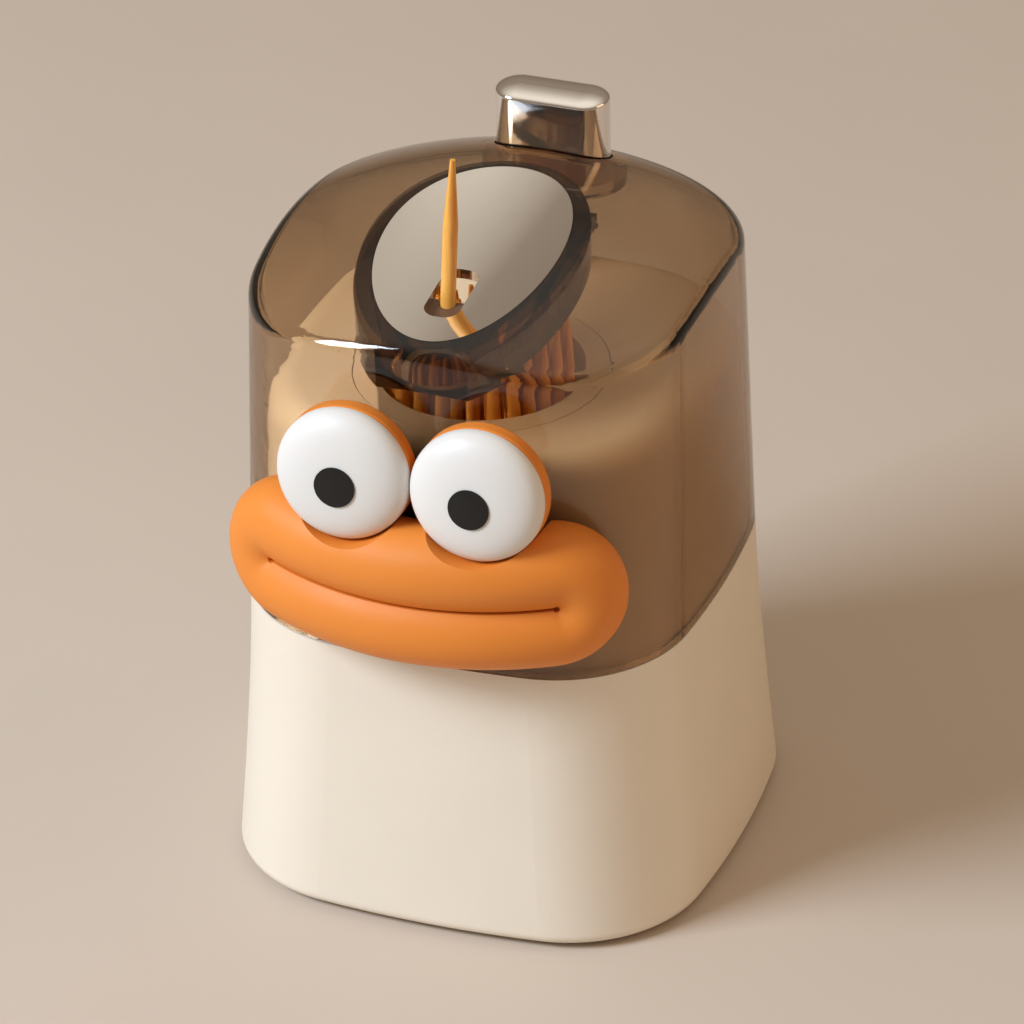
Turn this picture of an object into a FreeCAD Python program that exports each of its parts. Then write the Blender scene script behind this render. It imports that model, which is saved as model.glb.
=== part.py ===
"""Toothpick dispenser: a cream base, a smoky clear cover that lifts off for refilling, a dished
chrome outlet plate, and a button that raises one toothpick through it with a rocking lever.

Millimetres. +Z is up, the origin is the centre of the underside, and the face looks along -Y.
The housing has a rounded-square plan. Every solid is modelled at rest: cover on, button up.
"""
import FreeCAD, Part
import math
import os

from FreeCAD import Placement, Rotation, Vector

# ---------------------------------------------------------------- driving dimensions

# Housing plan: a square with bulging sides and large round corners, all arcs tangent
SEAM_Z = 42.3                 # top of the base
SEAM_HALF = 32.0              # half width where base and cover meet
SIDE_BULGE = 150.0            # radius of the bulging sides
SEAM_CORNER = 18.9            # corner radius where base and cover meet
FOOT_CORNER = 19.8            # corner radius at the foot
FOOT_FLARE = 2.8              # how much further out the foot stands
FLARE_POWER = 1.4             # how late the flare opens
FOOT_ROUND = 1.6              # rounding of the foot's lower edge
BASE_WALL = 2.2
SEAM_GAP = 0.3                # dark joint line between base and cover

# Cover
COVER_WALL = 2.0
CROWN_OVER_DECK = 22.1        # middle of the crown above the container's deck
CROWN_RADIUS = 70.0           # spherical crown
COVER_LEAN = 1.1              # how far the walls lean in up to the crown's height
COVER_TOP_CORNER = 20.9       # corner radius there
CROWN_EDGE = 3.0              # rounding where the walls meet the crown

# Outlet plate, an oval dish let into the crown
PLATE_SEMI_X = 12.4
PLATE_SEMI_Y = 19.6
PLATE_AHEAD = 2.3             # its middle in front of the cup's
PLATE_DISH = 3.5              # how deep its middle lies under the crown
PLATE_THICK = 1.4
PLATE_CLEAR = 0.1
PLATE_LEDGE = 1.0             # step in the collar that the plate rests on
COLLAR_WALL = 2.2             # collar outside the plate's edge
COLLAR_DEPTH = 6.5            # collar below the crown
SLOT_WIDTH = 5.0
SLOT_LENGTH = 11.0
SLOT_CORNER = 2.0
SLOT_BEHIND_PICK = 0.5        # the slot's middle lies this far behind the raised pick
GRIP_THICK = 2.0
GRIP_WIDER = 1.5              # soft grip beyond the slot's sides
GRIP_JAW = 0.6                # how far its jaws reach round behind the raised pick's middle
GRIP_CLEAR = 0.08

# Button, rod and return spring
BUTTON_INSET = 9.0            # middle of the button to the housing's rear
BUTTON_WIDTH = 16.2
BUTTON_DEPTH = 7.2
BUTTON_CORNER = 3.5
BUTTON_PROUD = 4.2            # its rim above the crown's middle
BUTTON_DOME = 1.2
BUTTON_WALL = 1.1
BUTTON_CLEAR = 0.3
BUTTON_TRAVEL = 7.5
BUTTON_SPARE = 1.5            # left under the skirt of the pressed button
SLEEVE_WALL = 1.7
SLEEVE_DROP = 1.0             # sleeve's end below the button's skirt
ROD_RADIUS = 1.3
ROD_CLEAR = 0.2
ROD_HEAD_WIDER = 1.0
ROD_HEAD_THICK = 1.4
SHELF_RISE = 5.0              # spring seat above the container's deck
SHELF_THICK = 2.2
SHELF_HALF_X = 4.0
SHELF_AHEAD = 5.1             # shelf's front edge before the rod
SPRING_RADIUS = 2.0           # to the middle of the wire
SPRING_WIRE = 0.3             # wire radius
SPRING_TURNS = 8
CLIP_THICK = 0.6
CLIP_GAP = 0.2                # clip to the face that it stops against
CLIP_WIDER = 1.5              # clips beyond the rod or pin that they hold

# Toothpicks
PICK_LENGTH = 65.0
PICK_RADIUS = 1.03
PICK_TIP_RADIUS = 0.35
PICK_TAPER = 9.6
RAISED_PICK_X = -0.35         # where it crosses the outlet plate
RAISED_PICK_BELOW = 6.1       # that crossing, below the crown's middle
RAISED_PICK_LEAN = 3.3        # degrees towards +X
RAISED_PICK_GAP = 0.3         # over the lifter's highest place, once the plate's grip holds it
PICK_TO_CUP = 1.7             # raised pick to the cup's front wall
PICK_PITCH = 2.6              # spacing of the stored bundle

# Toothpick cup
CUP_RADIUS = 14.0             # inside
CUP_WALL = 1.2
CUP_FLOOR_Z = 18.0            # the picks stand here
CUP_FLANGE = 2.0              # lies flush in the deck
CUP_FLANGE_CLEAR = 0.15
CUP_HOLE_CLEAR = 0.3
CUP_SLOT_CLEAR = 0.25         # each side of the lifter's blade
CUP_FREE = 5.2                # the bundle leaves this much of the cup's rear free

# Inner container
PICKS_PROUD = 8.0             # the stored picks stand this far out of the deck
DECK_THICK = 3.0
CONTAINER_CLEAR = 0.5         # to the inside of the cover at the seam
CONTAINER_WALL = 1.8
SOCKET_DEPTH = 6.3            # the container's skirt reaches this far into the base
CONTAINER_SHOULDER = 4.0
SOCKET_CLEAR = 0.25           # base wall to the container's skirt
LEDGE_THICK = 2.0
LEDGE_WIDTH = 5.0             # from the seam's outline to the ledge's round opening
ROD_HOLE_RADIUS = 4.0

# Bottom plate, pad and screws
PAD_THICK = 0.8
PAD_INSET = 8.0
BOTTOM_THICK = 2.0
BOTTOM_CLEAR = 0.15
BOSS_RADIUS = 3.2
BOSS_OVER_SCREW = 1.9         # screw bosses beyond the screws' points
BOTTOM_SCREW_IN = 3.5         # from the outline's corner, along X and along Y
SCREW_RADIUS = 1.0
SCREW_HEAD_RADIUS = 2.0
SCREW_HEAD_THICK = 1.1
SCREW_LENGTH = 8.0
SCREW_POINT = 1.2
SCREW_SINK = 0.1              # heads in from the plate's underside
SCREW_PASS = 0.2              # radial clearance where a screw only passes through
CONTAINER_SCREW_IN = 2.27
CONTAINER_BOSS_RADIUS = 2.6

# Lever: a yoke that rocks on a cross pin behind the cup
LIFT = 29.5                   # how far a full press raises the lifter
PIN_OVER_FLOOR = 1.25         # lever's front pins above the cup's floor, at rest
PIVOT_RADIUS = 1.5
HUB_RADIUS = 3.4
RUNNING_FIT = 0.05            # radial clearance of pins and rods
PRESS_FIT = 0.02              # radial clearance of what is pressed or screwed in
ARM_THICK = 1.8
ARM_HEIGHT = 4.6
CUP_TO_ARM = 0.8
TAIL_THICK = 3.0
TAIL_WIDTH = 7.0
TAIL_OVERHANG = 3.6
TIP_GAP = 0.3
PIN_RADIUS = 1.0
PILLAR_GAP = 0.5
PILLAR_THICK = 2.0
PILLAR_WIDTH = 6.4
PILLAR_FOOT = 1.2             # thicker foot round each pillar
PILLAR_FOOT_RISE = 1.6
PIN_PROUD = 1.6               # pivot pin beyond its pillars

# Lifter: slides on two rods in front of the cup
EAR_THICK = 2.0
EAR_GAP = 0.6
EAR_HEIGHT = 6.6
SLOT_PLAY = 0.4
PIN_TO_CROSSHEAD = 0.5        # wall left between the ears' slots and the crosshead
LIFTER_GAP = 0.4              # behind the crosshead, to the cup
CROSSHEAD_THICK = 2.4
LIFTER_TO_WALL = 1.5          # guide bosses to the inside of the container's front, at the seam
GUIDE_X = 9.5
GUIDE_RADIUS = 1.0
GUIDE_BOSS_RADIUS = 2.4
GUIDE_CLEAR = 0.12
GUIDE_SOCKET_DEPTH = 4.0
BLADE_HALF = 0.6
BLADE_RIB = 1.4               # blade below the seat's underside
SEAT_HALF = 3.6
SEAT_THICK = 1.6
SEAT_DEPTH = 4.1              # room for one pick, from the cup's front wall
SEAT_CLEAR = 0.3
SEAT_BELOW_FLOOR = 0.2

# Face
FACE_X = 0.9                  # the pair of eyes sits this far to the right of the middle
EYE_RADIUS = 9.35
EYE_APART = 18.8
EYE_BELOW_CROWN = 23.3        # eyes' middles under the crown's middle
EYE_STANDOFF = 5.0            # rim of the whites in front of the cover
EYE_TILT = 6.0                # degrees, facing slightly up
EYE_BULGE = 3.8
EYE_ROUNDNESS = 2.5           # exponent of the whites' section: 2 is an ellipse, more is boxier
EYE_BACK_THICK = 3.0
EYE_BACK_EDGE = 0.8
EYE_STUB_RADIUS = 6.0
PUPIL_RADIUS = 2.85
PUPIL_DROP = 0.6
PUPIL_THICK = 0.3
PUPIL_RADIUS_FRONT = 25.0     # how gently the pupils bulge
TAPE_THICK = 0.3
GLUE_LINE = 0.03
LIP_TAPE_HALF = 1.5           # half the height of each strip behind the lips
LIP_X = 0.4
LIP_STANDOFF = 5.4            # middle of the tube in front of the cover
EYES_OVER_LIPS = 16.6
LIP_TUBE = 5.9
LIP_SPACING = 8.9             # upper tube's middle over the lower one's
LIP_BEND = 38.0               # radius that the mouth bends back with
LIP_HALF_ANGLE = 28.8         # degrees
LIP_SMILE = 4.0               # degrees
LIP_PART = 0.45               # height of the slit between the lips
EYE_LIP_GAP = 0.2

# ---------------------------------------------------------------- worked out from them

DECK_Z = CUP_FLOOR_Z + PICK_LENGTH - PICKS_PROUD
DECK_UNDER_Z = DECK_Z - DECK_THICK
CROWN_TOP = DECK_Z + CROWN_OVER_DECK
CROWN_CENTRE_Z = CROWN_TOP - CROWN_RADIUS
COVER_BOTTOM_Z = SEAM_Z + SEAM_GAP
PAD_TOP_Z = PAD_THICK
BOTTOM_TOP_Z = PAD_TOP_Z + BOTTOM_THICK
CONTAINER_BOTTOM_Z = SEAM_Z - SOCKET_DEPTH
BOTTOM_SCREW_Z = PAD_TOP_Z + SCREW_SINK
CONTAINER_SCREW_Z = CONTAINER_BOTTOM_Z - LEDGE_THICK - SCREW_HEAD_THICK
SCREW_REACH = SCREW_LENGTH + SCREW_POINT
CUP_OUTER = CUP_RADIUS + CUP_WALL
CONTAINER_FRONT_Y = COVER_WALL + CONTAINER_CLEAR + CONTAINER_WALL - SEAM_HALF
GUIDE_Y = CONTAINER_FRONT_Y + LIFTER_TO_WALL + GUIDE_BOSS_RADIUS
CROSSHEAD_FRONT_Y = GUIDE_Y - CROSSHEAD_THICK / 2
CROSSHEAD_REAR_Y = GUIDE_Y + CROSSHEAD_THICK / 2
CUP_Y = CROSSHEAD_REAR_Y + LIFTER_GAP + CUP_OUTER
CUP_FRONT_Y = CUP_Y - CUP_RADIUS
PLATE_Y = CUP_Y - PLATE_AHEAD
BUTTON_Y = SEAM_HALF - BUTTON_INSET
BUTTON_RIM_Z = CROWN_TOP + BUTTON_PROUD
EYE_RIM_Y = -SEAM_HALF - EYE_STANDOFF
EYE_Z = CROWN_TOP - EYE_BELOW_CROWN
LIP_Y = -SEAM_HALF - LIP_STANDOFF
LIP_Z = EYE_Z - EYES_OVER_LIPS
SHELF_TOP_Z = DECK_Z + SHELF_RISE
BUTTON_BOTTOM_Z = SHELF_TOP_Z + BUTTON_TRAVEL + BUTTON_SPARE
SLEEVE_BOTTOM_Z = BUTTON_BOTTOM_Z - SLEEVE_DROP
ARM_INNER_X = CUP_OUTER + CUP_TO_ARM
ARM_OUTER_X = ARM_INNER_X + ARM_THICK
PILLAR_INNER_X = ARM_OUTER_X + PILLAR_GAP
PILLAR_OUTER_X = PILLAR_INNER_X + PILLAR_THICK
EAR_OUTER_X = ARM_INNER_X - EAR_GAP
EAR_INNER_X = EAR_OUTER_X - EAR_THICK
SEAT_TOP_Z = CUP_FLOOR_Z - SEAT_BELOW_FLOOR
SEAT_REAR_Y = CUP_FRONT_Y + SEAT_DEPTH
RAISED_PICK_Y = CUP_FRONT_Y + PICK_RADIUS + PICK_TO_CUP
SLOT_Y = RAISED_PICK_Y + SLOT_BEHIND_PICK
RAISED_PICK_FOOT_Z = SEAT_TOP_Z + LIFT + RAISED_PICK_GAP
RAISED_PICK_CROSS_Z = CROWN_TOP - RAISED_PICK_BELOW

# The lever turns the button's travel into the lift. It swings as far above level as below, so
# travel / 2 = tail * tan(swing) and lift / 2 = front * sin(swing), with tail + front = the span
# from the push rod to the pins at their furthest.
PIN_MID_Y = CROSSHEAD_REAR_Y + SLOT_PLAY + PIN_RADIUS + PIN_TO_CROSSHEAD
SPAN = BUTTON_Y - PIN_MID_Y
SWING = math.asin(LIFT / 2 / math.hypot(SPAN, BUTTON_TRAVEL / 2)) + math.atan(BUTTON_TRAVEL / 2 / SPAN)
LEVER_TAIL = BUTTON_TRAVEL / 2 / math.tan(SWING)
LEVER_FRONT = SPAN - LEVER_TAIL
PIVOT_Y = BUTTON_Y - LEVER_TAIL
PIN_REST_Z = CUP_FLOOR_Z + PIN_OVER_FLOOR
PIVOT_Z = PIN_REST_Z + LIFT / 2
PIN_END_Y = PIVOT_Y - LEVER_FRONT * math.cos(SWING)
ROD_TIP_Z = (PIVOT_Z - ROD_RADIUS + (ROD_RADIUS + TIP_GAP + TAIL_THICK / 2
             + LEVER_TAIL * math.sin(SWING)) / math.cos(SWING))

FAR = 200.0                   # longer than anything here, for cutting tools

# ---------------------------------------------------------------- shapes


def corner_centre(half, corner):
    """Middle of an outline's corner arc: its X, which is also its Y."""
    reach = SIDE_BULGE - corner               # from the side arc's centre
    run = SIDE_BULGE - half                   # side arc's centre to the housing's axis
    return (math.sqrt(2 * reach ** 2 - run ** 2) - run) / 2


def corner_places(plan, inset):
    """Four places by an outline's corners, set in from each corner along X and along Y."""
    half, corner = plan
    reach = corner_centre(half, corner) + corner / math.sqrt(2) - inset
    return [(sx * reach, sy * reach) for sx in (-1, 1) for sy in (-1, 1)]


def plan_wire(plan, z, inset=0.0):
    """Outline of the housing at a height: four bulging sides joined by four corner arcs."""
    half, corner = plan
    centre = corner_centre(half, corner)
    side = SIDE_BULGE - inset
    corner = corner - inset
    run = SIDE_BULGE - half
    turn = math.atan2(centre, centre + run)
    side_end = Vector(side * math.cos(turn) - run, side * math.sin(turn), z)
    side_start = Vector(side_end.x, -side_end.y, z)
    corner_tip = centre + corner / math.sqrt(2)
    edges = []
    for quarter in range(4):
        place = Placement(Vector(0, 0, 0), Rotation(Vector(0, 0, 1), 90 * quarter))
        start, middle, end, tip, last = [place.multVec(point) for point in (
            side_start, Vector(half - inset, 0, z), side_end, Vector(corner_tip, corner_tip, z),
            Vector(side_end.y, side_end.x, z))]
        edges.append(Part.Arc(start, middle, end).toShape())
        edges.append(Part.Arc(end, tip, last).toShape())
    return Part.Wire(edges)


def ellipse_face(semi_x, semi_y, centre_y, z):
    """Flat oval whose longer axis may lie along X or Y."""
    centre = Vector(0, centre_y, z)
    if semi_x >= semi_y:
        curve = Part.Ellipse(Vector(semi_x, centre_y, z), Vector(0, centre_y + semi_y, z), centre)
    else:
        curve = Part.Ellipse(Vector(0, centre_y + semi_y, z), Vector(-semi_x, centre_y, z), centre)
    return Part.Face(Part.Wire(curve.toShape()))


def ellipse_prism(semi_x, semi_y, centre_y, z_low, z_high):
    return ellipse_face(semi_x, semi_y, centre_y, z_low).extrude(Vector(0, 0, z_high - z_low))


def box(x_low, x_high, y_low, y_high, z_low, z_high):
    corner = Vector(x_low, y_low, z_low)
    return Part.makeBox(x_high - x_low, y_high - y_low, z_high - z_low, corner)


def post(radius, x, y, z_low, z_high):
    """Vertical cylinder."""
    return Part.makeCylinder(radius, z_high - z_low, Vector(x, y, z_low), Vector(0, 0, 1))


def cross_bar(radius, x_low, x_high, y, z):
    """Cylinder along X."""
    return Part.makeCylinder(radius, x_high - x_low, Vector(x_low, y, z), Vector(1, 0, 0))


def ring(outer, inner, x, y, z_low, z_high):
    return post(outer, x, y, z_low, z_high).cut(post(inner, x, y, z_low, z_high))


def rounded_wire(width, depth, corner, centre_y, z):
    """Rounded rectangle at a height."""
    corner = min(corner, width / 2 - 0.05, depth / 2 - 0.05)
    reach_x = width / 2 - corner
    reach_y = depth / 2 - corner
    ring_of_points = []
    for quarter, (sx, sy) in enumerate([(1, 1), (-1, 1), (-1, -1), (1, -1)]):
        for eighth in range(3):
            turn = math.pi / 2 * (quarter + eighth / 2)
            ring_of_points.append(Vector(sx * reach_x + corner * math.cos(turn),
                                         centre_y + sy * reach_y + corner * math.sin(turn), z))
    edges = []
    for i in range(0, 12, 3):
        start, middle, end = ring_of_points[i:i + 3]
        edges.append(Part.Arc(start, middle, end).toShape())
        edges.append(Part.LineSegment(end, ring_of_points[(i + 3) % 12]).toShape())
    return Part.Wire(edges)


def rounded_prism(width, depth, corner, centre_y, z_low, z_high):
    """Upright prism with a rounded-rectangle plan."""
    return Part.Face(rounded_wire(width, depth, corner, centre_y, z_low)).extrude(
        Vector(0, 0, z_high - z_low))


def crown_z(x, y, below=0.0):
    """Height of the crown, or of the sphere that runs the given depth under it."""
    return CROWN_CENTRE_Z + math.sqrt((CROWN_RADIUS - below) ** 2 - x * x - y * y)


def crown_ball(below=0.0):
    return Part.makeSphere(CROWN_RADIUS - below, Vector(0, 0, CROWN_CENTRE_Z))


def base_plan(z):
    """Half width and corner radius of the base: a trumpet that opens towards the foot."""
    share = max(0.0, 1 - z / SEAM_Z) ** FLARE_POWER
    return SEAM_HALF + FOOT_FLARE * share, SEAM_CORNER + (FOOT_CORNER - SEAM_CORNER) * share


def cover_plan(z):
    """Half width and corner radius of the cover: its walls lean in towards the crown."""
    share = (z - SEAM_Z) / (CROWN_TOP - SEAM_Z)
    return SEAM_HALF - COVER_LEAN * share, SEAM_CORNER + (COVER_TOP_CORNER - SEAM_CORNER) * share


def bottom_screw_places():
    return corner_places(base_plan(BOTTOM_TOP_Z), BOTTOM_SCREW_IN)


def container_screw_places():
    half, corner = cover_plan(CONTAINER_BOTTOM_Z)
    skin = COVER_WALL + CONTAINER_CLEAR
    return corner_places((half, corner), skin / math.sqrt(2) + CONTAINER_SCREW_IN)


def base_block(inset, z_low, z_high, steps=4):
    """Solid between two heights of the base, set in from its outer face."""
    heights = [z_low + (z_high - z_low) * i / steps for i in range(steps + 1)]
    return Part.makeLoft([plan_wire(base_plan(z), z, inset) for z in heights], True, False)


def cover_block(outset, z_low, z_high):
    """Solid between two heights of the cover's walls, set out from their outer face."""
    wires = [plan_wire(cover_plan(z), z, -outset) for z in (z_low, z_high)]
    return Part.makeLoft(wires, True, True)


def domed_cover(inset, z_low):
    """The cover's outer form, or the same form set in by a wall, with its crown's edge rounded."""
    block = cover_block(-inset, z_low, CROWN_TOP + 1).common(crown_ball(inset))
    crown = max(block.Faces, key=lambda face: face.CenterOfMass.z)
    return block.makeFillet(max(CROWN_EDGE - inset, 0.8), crown.Edges)


def plate_slab(below, thickness):
    """Slab under the crown with the plate's dish pressed into it; it is cut to an outline later."""
    reach_x = PLATE_SEMI_X + PLATE_CLEAR + 1
    reach_y = PLATE_SEMI_Y + PLATE_CLEAR + 1
    rows = []
    for i in range(9):
        row = []
        x = reach_x * (i / 4 - 1)
        for j in range(13):
            y = PLATE_Y + reach_y * (j / 6 - 1)
            rise = (x / PLATE_SEMI_X) ** 2 + ((y - PLATE_Y) / PLATE_SEMI_Y) ** 2
            row.append(Vector(x, y, crown_z(x, y) - PLATE_DISH * (1 - rise) - below))
        rows.append(row)
    surface = Part.BSplineSurface()
    surface.interpolate(rows)
    return surface.toShape().extrude(Vector(0, 0, -thickness))


def slot_prism():
    """The oblong hole in the outlet plate, running right through."""
    return rounded_prism(SLOT_WIDTH, SLOT_LENGTH, SLOT_CORNER, SLOT_Y, DECK_Z, FAR)


# ---------------------------------------------------------------- base


def make_anti_slip_pad():
    return Part.Face(plan_wire(base_plan(0), 0, PAD_INSET)).extrude(Vector(0, 0, PAD_THICK))


def screw(x, y, head_z):
    """Self-tapping screw that points up, with a flat round head whose underside is at head_z."""
    head = post(SCREW_HEAD_RADIUS, x, y, head_z, head_z + SCREW_HEAD_THICK)
    shank = post(SCREW_RADIUS, x, y, head_z, head_z + SCREW_LENGTH)
    point = Part.makeCone(SCREW_RADIUS, SCREW_RADIUS / 3, SCREW_POINT, Vector(x, y, head_z + SCREW_LENGTH))
    return head.fuse(shank).fuse(point).removeSplitter()


def make_bottom_screws():
    return Part.makeCompound([screw(x, y, BOTTOM_SCREW_Z) for x, y in bottom_screw_places()])


def make_bottom_plate():
    """Closes the foot, and carries the lever's two pillars and the guide rods' sockets."""
    plan = plan_wire(base_plan(BOTTOM_TOP_Z), BOTTOM_TOP_Z, BASE_WALL + BOTTOM_CLEAR)
    plan.translate(Vector(0, 0, -BOTTOM_THICK))
    plate = Part.Face(plan).extrude(Vector(0, 0, BOTTOM_THICK))
    root_z = PAD_TOP_Z + BOTTOM_THICK / 2
    for side in (-1, 1):
        x_low, x_high = sorted((side * PILLAR_INNER_X, side * PILLAR_OUTER_X))
        pillar = box(x_low, x_high, PIVOT_Y - PILLAR_WIDTH / 2, PIVOT_Y + PILLAR_WIDTH / 2, root_z, PIVOT_Z)
        pillar = pillar.fuse(cross_bar(PILLAR_WIDTH / 2, x_low, x_high, PIVOT_Y, PIVOT_Z))
        foot_reach = PILLAR_WIDTH / 2 + PILLAR_FOOT
        foot = box(x_low - PILLAR_FOOT, x_high + PILLAR_FOOT, PIVOT_Y - foot_reach, PIVOT_Y + foot_reach,
                   root_z, BOTTOM_TOP_Z + PILLAR_FOOT_RISE)
        plate = plate.fuse(pillar).fuse(foot)
        socket_top = BOTTOM_TOP_Z + GUIDE_SOCKET_DEPTH
        plate = plate.fuse(post(GUIDE_BOSS_RADIUS, side * GUIDE_X, GUIDE_Y, root_z, socket_top))
        plate = plate.cut(post(GUIDE_RADIUS + RUNNING_FIT, side * GUIDE_X, GUIDE_Y, BOTTOM_TOP_Z,
                               socket_top + 1))
    plate = plate.cut(cross_bar(PIVOT_RADIUS + RUNNING_FIT, -FAR, FAR, PIVOT_Y, PIVOT_Z))
    for x, y in bottom_screw_places():
        plate = plate.cut(post(SCREW_RADIUS + SCREW_PASS, x, y, 0, BOTTOM_TOP_Z + 1))
        plate = plate.cut(post(SCREW_HEAD_RADIUS + SCREW_PASS, x, y, 0, BOTTOM_SCREW_Z + SCREW_HEAD_THICK))
    return plate.removeSplitter()


def rounded_foot():
    """The lowest part of the base, drawn in to its underside by a quarter round."""
    wires = []
    for i in range(5):
        turn = math.pi / 2 * i / 4
        z = PAD_TOP_Z + FOOT_ROUND * (1 - math.cos(turn))
        inset = FOOT_ROUND * (1 - math.sin(turn))
        wires.append(plan_wire(base_plan(z), z, inset))
    return Part.makeLoft(wires, True, False)


def make_base_shell():
    """Flared cream shell: open below for the bottom plate, with a ledge for the container."""
    outer = rounded_foot().fuse(base_block(0, PAD_TOP_Z + FOOT_ROUND, SEAM_Z))
    ledge_top = CONTAINER_BOTTOM_Z
    shell = outer.cut(base_block(BASE_WALL, PAD_TOP_Z - 1, SEAM_Z + 1))
    ledge = base_block(BASE_WALL / 2, ledge_top - LEDGE_THICK, ledge_top, 1)
    ledge = ledge.cut(post(SEAM_HALF - LEDGE_WIDTH, 0, 0, 0, SEAM_Z))
    lifter_way = box(-PILLAR_INNER_X, PILLAR_INNER_X, -FAR, CUP_Y, 0, SEAM_Z)
    ledge = ledge.cut(lifter_way.common(base_block(BASE_WALL, PAD_TOP_Z, SEAM_Z, 1)))
    pivot_end = PILLAR_OUTER_X + PIN_PROUD + SEAT_CLEAR
    pivot_reach = PIVOT_RADIUS + CLIP_WIDER + SEAT_CLEAR
    ledge = ledge.cut(box(-pivot_end, pivot_end, PIVOT_Y - pivot_reach, PIVOT_Y + pivot_reach, 0, SEAM_Z))
    boss_top = BOTTOM_SCREW_Z + SCREW_REACH + BOSS_OVER_SCREW
    shell = shell.fuse(ledge).cut(container_block(-SOCKET_CLEAR, ledge_top, SEAM_Z + 1))
    for x, y in bottom_screw_places():
        boss = post(BOSS_RADIUS, x, y, BOTTOM_TOP_Z, boss_top)
        boss = boss.common(base_block(BASE_WALL / 2, BOTTOM_TOP_Z, boss_top, 2))
        shell = shell.fuse(boss)
        shell = shell.cut(post(SCREW_RADIUS + PRESS_FIT, x, y, BOTTOM_TOP_Z, boss_top - BOSS_OVER_SCREW / 2))
    for x, y in container_screw_places():
        shell = shell.cut(post(SCREW_RADIUS + SCREW_PASS, x, y, CONTAINER_SCREW_Z, ledge_top + 1))
    return shell.removeSplitter()


def container_block(inset, z_low, z_high):
    """The container's outer form, which follows the inside of the cover."""
    return cover_block(-COVER_WALL - CONTAINER_CLEAR - inset, z_low, z_high)


def make_inner_container():
    """Cream liner that stands up inside the cover; the cup hangs flush in its deck."""
    outer = container_block(0, CONTAINER_BOTTOM_Z, DECK_Z)
    outer = outer.makeFillet(CONTAINER_SHOULDER, [e for e in outer.Edges if e.BoundBox.ZMin > DECK_Z - 1])
    inner = container_block(CONTAINER_WALL, CONTAINER_BOTTOM_Z - 1, DECK_UNDER_Z)
    inner = inner.makeFillet(CONTAINER_SHOULDER - CONTAINER_WALL,
                             [e for e in inner.Edges if e.BoundBox.ZMin > DECK_UNDER_Z - 1])
    liner = outer.cut(inner)
    boss_top = CONTAINER_SCREW_Z + SCREW_REACH + BOSS_OVER_SCREW
    for x, y in container_screw_places():
        boss = post(CONTAINER_BOSS_RADIUS, x, y, CONTAINER_BOTTOM_Z, boss_top)
        boss = boss.common(container_block(CONTAINER_WALL / 2, CONTAINER_BOTTOM_Z, boss_top))
        liner = liner.fuse(boss)
        liner = liner.cut(post(SCREW_RADIUS + PRESS_FIT, x, y, CONTAINER_BOTTOM_Z,
                               boss_top - BOSS_OVER_SCREW / 2))
    for side in (-1, 1):
        socket_low = DECK_UNDER_Z - GUIDE_SOCKET_DEPTH
        liner = liner.fuse(post(GUIDE_BOSS_RADIUS, side * GUIDE_X, GUIDE_Y, socket_low,
                                DECK_UNDER_Z + DECK_THICK / 4))
        liner = liner.cut(post(GUIDE_RADIUS + RUNNING_FIT, side * GUIDE_X, GUIDE_Y, socket_low - 1,
                               DECK_UNDER_Z))
    flange_seat = post(CUP_OUTER + CUP_FLANGE + CUP_FLANGE_CLEAR, 0, CUP_Y, DECK_Z - CUP_WALL, FAR)
    liner = liner.cut(flange_seat)
    liner = liner.cut(post(CUP_OUTER + CUP_HOLE_CLEAR, 0, CUP_Y, DECK_UNDER_Z - GUIDE_SOCKET_DEPTH, FAR))
    liner = liner.cut(post(ROD_HOLE_RADIUS, 0, BUTTON_Y, DECK_UNDER_Z - DECK_THICK, FAR))
    return liner.removeSplitter()


def make_container_screws():
    return Part.makeCompound([screw(x, y, CONTAINER_SCREW_Z) for x, y in container_screw_places()])


def make_toothpick_cup():
    """Round cup that hangs by its flange in the deck, slotted in front for the lifter's blade."""
    floor_under = CUP_FLOOR_Z - CUP_WALL
    cup = post(CUP_OUTER, 0, CUP_Y, floor_under, DECK_Z)
    cup = cup.fuse(post(CUP_OUTER + CUP_FLANGE, 0, CUP_Y, DECK_Z - CUP_WALL, DECK_Z))
    cup = cup.cut(post(CUP_RADIUS, 0, CUP_Y, CUP_FLOOR_Z, FAR))
    slot_half = BLADE_HALF + CUP_SLOT_CLEAR
    cup = cup.cut(box(-slot_half, slot_half, CUP_FRONT_Y - 2 * CUP_WALL, CUP_FRONT_Y + 1,
                      floor_under - 1, SEAT_TOP_Z + LIFT + SLOT_PLAY))
    notch = box(-SEAT_HALF - SEAT_CLEAR, SEAT_HALF + SEAT_CLEAR, CUP_FRONT_Y, SEAT_REAR_Y + SEAT_CLEAR,
                floor_under - 1, CUP_FLOOR_Z + 1)
    return cup.cut(notch.common(post(CUP_RADIUS, 0, CUP_Y, 0, DECK_Z))).removeSplitter()


def toothpick(sides):
    """Pick along +Z from the origin, tapered at both ends; the stored ones are whittled prisms."""
    profile = [(0, PICK_TIP_RADIUS), (PICK_TAPER, PICK_RADIUS), (PICK_LENGTH - PICK_TAPER, PICK_RADIUS),
               (PICK_LENGTH, PICK_TIP_RADIUS)]
    if sides == 0:
        points = [Vector(0, 0, 0)] + [Vector(r, 0, z) for z, r in profile]
        points += [Vector(0, 0, PICK_LENGTH), Vector(0, 0, 0)]
        return Part.Face(Part.makePolygon(points)).revolve(Vector(0, 0, 0), Vector(0, 0, 1), 360)
    wires = []
    for z, r in profile:
        loop = [Vector(r * math.cos(2 * math.pi * i / sides), r * math.sin(2 * math.pi * i / sides), z)
                for i in range(sides + 1)]
        wires.append(Part.makePolygon(loop))
    return Part.makeLoft(wires, True, True)


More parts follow.
